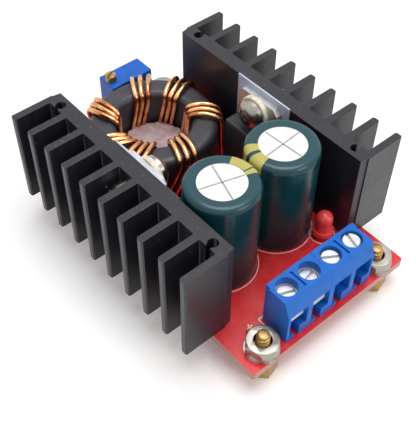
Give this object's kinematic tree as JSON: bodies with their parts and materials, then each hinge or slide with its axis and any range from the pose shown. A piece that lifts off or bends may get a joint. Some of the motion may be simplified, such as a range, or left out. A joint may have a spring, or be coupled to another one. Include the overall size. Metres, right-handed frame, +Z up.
{
  "type": "boost converter module",
  "caption": "Step-up power converter board on standoffs, with finned heatsinks, a toroidal inductor, electrolytic capacitors, a trimmer and screw terminals.",
  "frame": {"origin": "on the surface the feet stand on, under the middle of the board", "axes": "+Z up; the wire terminals face -Y; the board's long side lies along Y and the heatsinks stand along its -X and +X edges"},
  "size_m": [0.0476, 0.0654, 0.0261],
  "materials": {
    "board": "red solder mask over glass fibre, satin",
    "heatsink": "black anodised, fine extrusion lines",
    "zinc_steel": "bright zinc plating",
    "brass": "turned brass, dull",
    "package": "moulded epoxy, fine grain",
    "tinned": "tinned copper, satin bright",
    "pad": "thin silicone sheet, slightly clear",
    "washer": "cream nylon",
    "core": "pressed powder core, epoxy coated",
    "enamel": "enamelled copper wire",
    "adhesive": "grey mauve silicone adhesive",
    "can": "bare aluminium",
    "sleeve": "dark green shrink sleeve",
    "seal": "black rubber bung",
    "lamp": "clear red lens",
    "trimmer": "blue moulded case",
    "terminal": "blue moulded nylon",
    "solder": "solder, satin",
    "chip": "black chip body",
    "ceramic": "tan ceramic"
  },
  "bodies": {
    "module": {"chip_capacitors": "ceramic", "chip_resistors": "chip", "circuit_board": "board", "controller_body": "chip", "controller_leads": "tinned", "core_adhesive": "adhesive", "device_screws": "zinc_steel", "diode_body": "package", "diode_leads": "tinned", "diode_tab": "tinned", "heatsink_left": "heatsink", "heatsink_right": "heatsink", "heatsink_screws": "zinc_steel", "input_capacitor_can": "can", "input_capacitor_leads": "tinned", "input_capacitor_seal": "seal", "input_capacitor_sleeve": "sleeve", "insulating_pad_left": "pad", "insulating_pad_right": "pad", "lamp_leads": "tinned", "lamp_lens": "lamp", "mosfet_body": "package", "mosfet_leads": "tinned", "mosfet_tab": "tinned", "output_capacitor_can": "can", "output_capacitor_leads": "tinned", "output_capacitor_seal": "seal", "output_capacitor_sleeve": "sleeve", "sense_resistor": "chip", "shoulder_washer_left": "washer", "shoulder_washer_right": "washer", "solder_joints": "solder", "standoff_nuts": "zinc_steel", "standoffs": "brass", "terminal_frame_1": "zinc_steel", "terminal_frame_2": "zinc_steel", "terminal_frame_3": "zinc_steel", "terminal_frame_4": "zinc_steel", "terminal_housing_left": "terminal", "terminal_housing_right": "terminal", "toroid_core": "core", "trimmer_case": "trimmer", "trimmer_pins": "tinned", "winding_strand_1": "enamel", "winding_strand_2": "enamel", "winding_strand_3": "enamel"},
    "trimmer_turn": {"trimmer_screw": "brass"},
    "clamp_1": {"clamp_plate_1": "zinc_steel"},
    "screw_1": {"clamp_screw_1": "zinc_steel"},
    "clamp_2": {"clamp_plate_2": "zinc_steel"},
    "screw_2": {"clamp_screw_2": "zinc_steel"},
    "clamp_3": {"clamp_plate_3": "zinc_steel"},
    "screw_3": {"clamp_screw_3": "zinc_steel"},
    "clamp_4": {"clamp_plate_4": "zinc_steel"},
    "screw_4": {"clamp_screw_4": "zinc_steel"}
  },
  "joints": [
    {"name": "trimmer_turn", "type": "hinge", "parent": "module", "child": "trimmer_turn", "pos_m": [0.0009, 0.0299, 0.0169], "axis": [0, 0, 1], "continuous": true},
    {"name": "clamp_slide_1", "type": "slide", "parent": "module", "child": "clamp_1", "axis": [0, 0, -1], "range_m": [-0.00145, 0.00095]},
    {"name": "screw_turn_1", "type": "hinge", "parent": "clamp_1", "child": "screw_1", "pos_m": [-0.0075, -0.02805, 0.01369], "axis": [0, 0, -1], "range_deg": [-870.01, 570.01]},
    {"name": "clamp_slide_2", "type": "slide", "parent": "module", "child": "clamp_2", "axis": [0, 0, -1], "range_m": [-0.00165, 0.00075]},
    {"name": "screw_turn_2", "type": "hinge", "parent": "clamp_2", "child": "screw_2", "pos_m": [-0.0025, -0.02805, 0.01349], "axis": [0, 0, -1], "range_deg": [-990.01, 450.01]},
    {"name": "clamp_slide_3", "type": "slide", "parent": "module", "child": "clamp_3", "axis": [0, 0, -1], "range_m": [-0.0005, 0.0019]},
    {"name": "screw_turn_3", "type": "hinge", "parent": "clamp_3", "child": "screw_3", "pos_m": [0.0025, -0.02805, 0.01464], "axis": [0, 0, -1], "range_deg": [-300.01, 1140.01]},
    {"name": "clamp_slide_4", "type": "slide", "parent": "module", "child": "clamp_4", "axis": [0, 0, -1], "range_m": [-0.00015, 0.00225]},
    {"name": "screw_turn_4", "type": "hinge", "parent": "clamp_4", "child": "screw_4", "pos_m": [0.0075, -0.02805, 0.01499], "axis": [0, 0, -1], "range_deg": [-90.01, 1350.01]}
  ],
  "couplings": [
    {"joint": "screw_turn_1", "follows": "clamp_slide_1", "rad_per_m": 10472},
    {"joint": "screw_turn_2", "follows": "clamp_slide_2", "rad_per_m": 10472},
    {"joint": "screw_turn_3", "follows": "clamp_slide_3", "rad_per_m": 10472},
    {"joint": "screw_turn_4", "follows": "clamp_slide_4", "rad_per_m": 10472}
  ]
}
